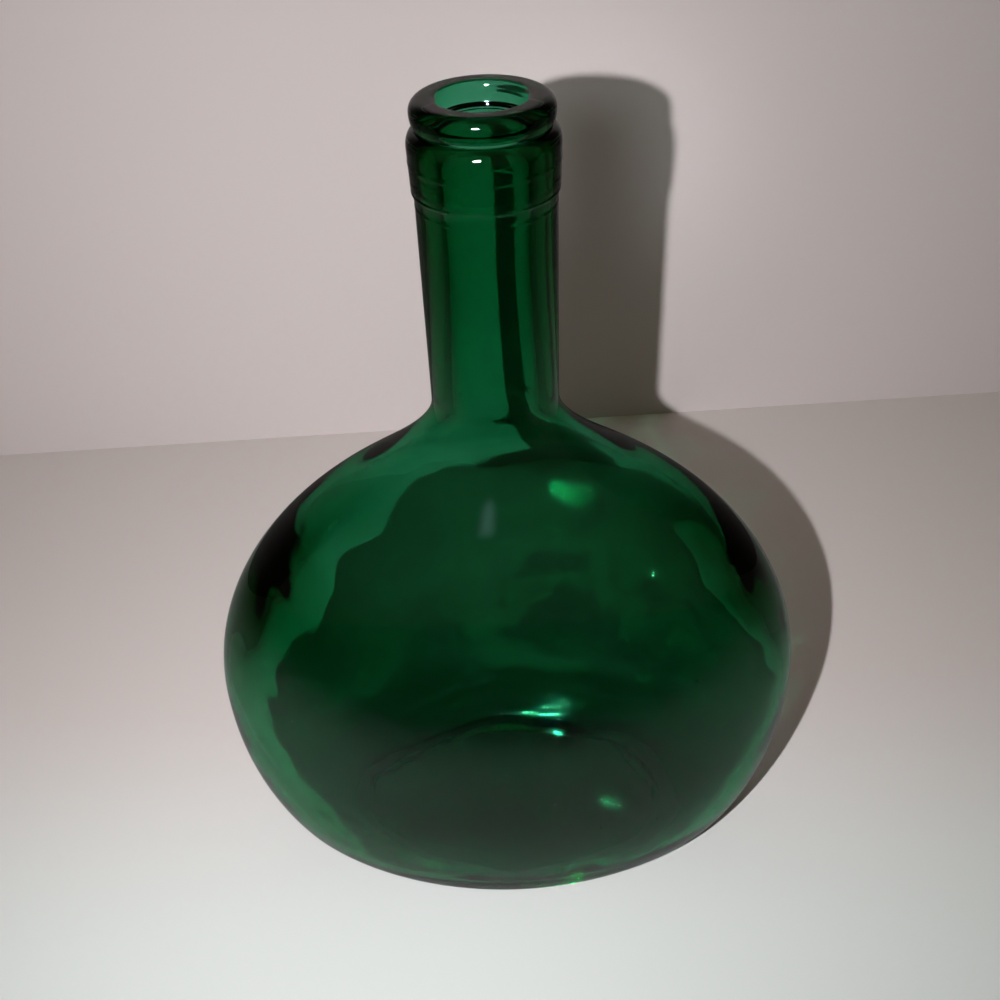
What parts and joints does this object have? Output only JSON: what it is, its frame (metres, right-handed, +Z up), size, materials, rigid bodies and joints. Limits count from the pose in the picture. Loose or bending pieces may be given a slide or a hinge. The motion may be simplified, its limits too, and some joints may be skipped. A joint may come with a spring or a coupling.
{
  "type": "bocksbeutel bottle",
  "caption": "Flattened round wine bottle of clear green glass with a straight neck, a collared finish and an open mouth; empty, with no closure.",
  "frame": {"origin": "middle of the base, on the plane that the bottle stands on", "axes": "+Z up the neck, +X across the wide front of the body, +Y through its flat depth towards the back"},
  "size_m": [0.158, 0.088, 0.2176],
  "materials": {
    "green_glass": "clear emerald green bottle glass, fire-polished"
  },
  "bodies": {
    "root": {"glass_bottle": "green_glass"}
  },
  "joints": []
}
